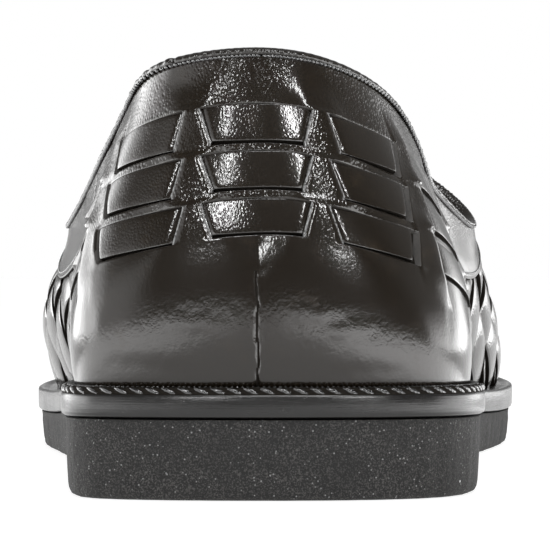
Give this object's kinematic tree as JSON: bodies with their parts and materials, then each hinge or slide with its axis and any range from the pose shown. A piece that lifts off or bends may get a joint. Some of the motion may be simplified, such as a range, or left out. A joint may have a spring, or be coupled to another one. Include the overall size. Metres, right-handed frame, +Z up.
{
  "type": "loafer",
  "caption": "Left slip-on woven leather loafer: low open collar with a bound edge, interlaced vamp, slotted strap rows round the heel and a thick flat crepe wedge sole.",
  "frame": {"origin": "on the floor plane, under the middle of the shoe's plan", "axes": "+Y points to the toe, +X to the inner side of the foot, +Z up; the tread rests on z = 0"},
  "size_m": [0.1072, 0.298, 0.0765],
  "materials": {
    "black_leather": "polished black grain leather",
    "binding_leather": "folded soft leather, brownish black",
    "lining_leather": "matt lining leather",
    "smooth_rubber": "satin dark grey rubber",
    "crepe_rubber": "matt black crepe rubber with pale specks"
  },
  "bodies": {
    "root": {"upper": "black_leather", "collar_binding": "binding_leather", "insole": "lining_leather", "midsole_welt": "smooth_rubber", "crepe_outsole": "crepe_rubber"}
  },
  "joints": []
}
